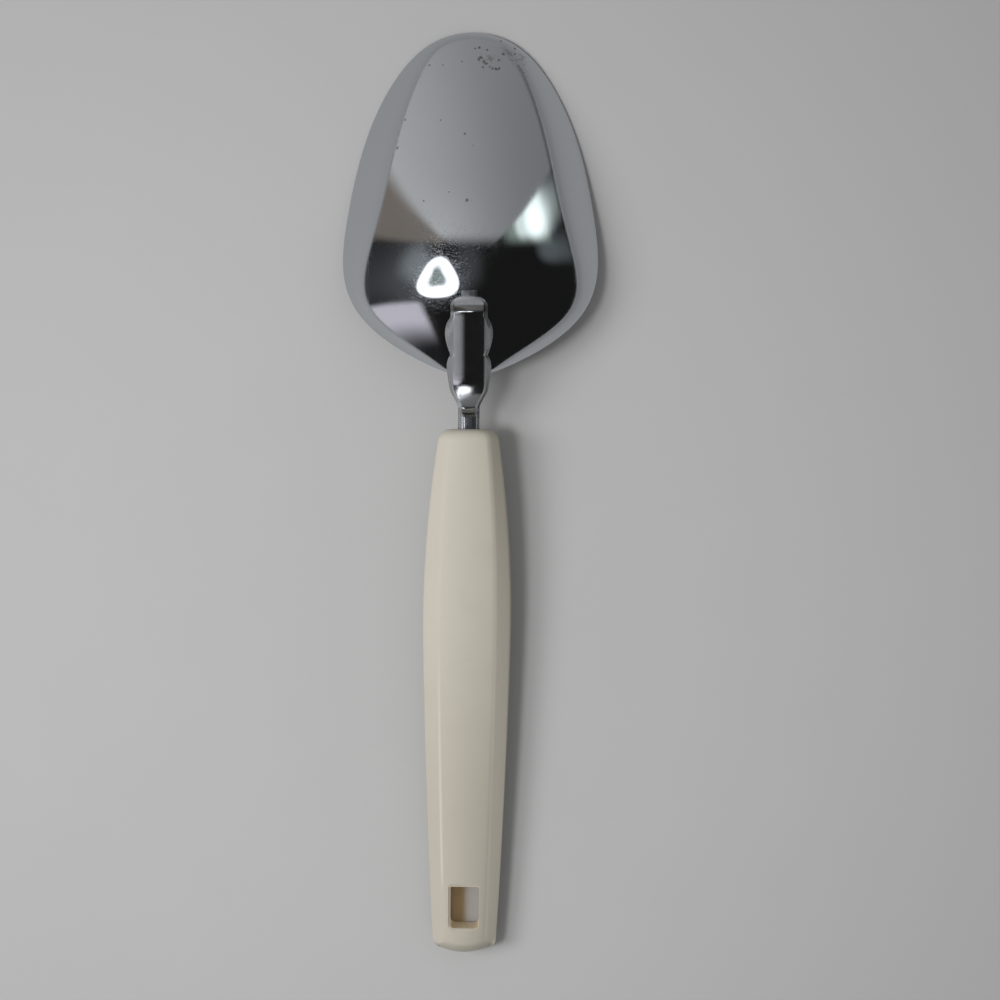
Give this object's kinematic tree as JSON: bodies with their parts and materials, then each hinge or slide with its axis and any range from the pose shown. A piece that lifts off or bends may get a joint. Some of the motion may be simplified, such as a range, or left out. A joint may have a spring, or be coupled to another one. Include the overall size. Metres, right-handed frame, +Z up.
{
  "type": "kitchen scoop",
  "caption": "Spoon-shaped kitchen scoop with an egg-shaped plated steel bowl, a ribbed sheet shank welded to its back and a bevelled moulded handle with a hang hole.",
  "frame": {"origin": "centre of the object's box, on the table that the scoop lies on face down", "axes": "+Y from the handle's end to the tip of the bowl, +Z up out of the back of the bowl, +X to the right"},
  "size_m": [0.0754, 0.2716, 0.0303],
  "materials": {
    "bowl_plating": "bright plated steel with rust pits near the tip and fine scratches",
    "shank_plating": "bright plated steel",
    "weld_steel": "dull weld metal",
    "handle_plastic": "cream moulded plastic with a satin skin"
  },
  "bodies": {
    "root": {"bowl": "bowl_plating", "shank": "shank_plating", "spot_weld_front_left": "weld_steel", "spot_weld_front_right": "weld_steel", "spot_weld_rear_left": "weld_steel", "spot_weld_rear_right": "weld_steel", "handle": "handle_plastic"}
  },
  "joints": []
}
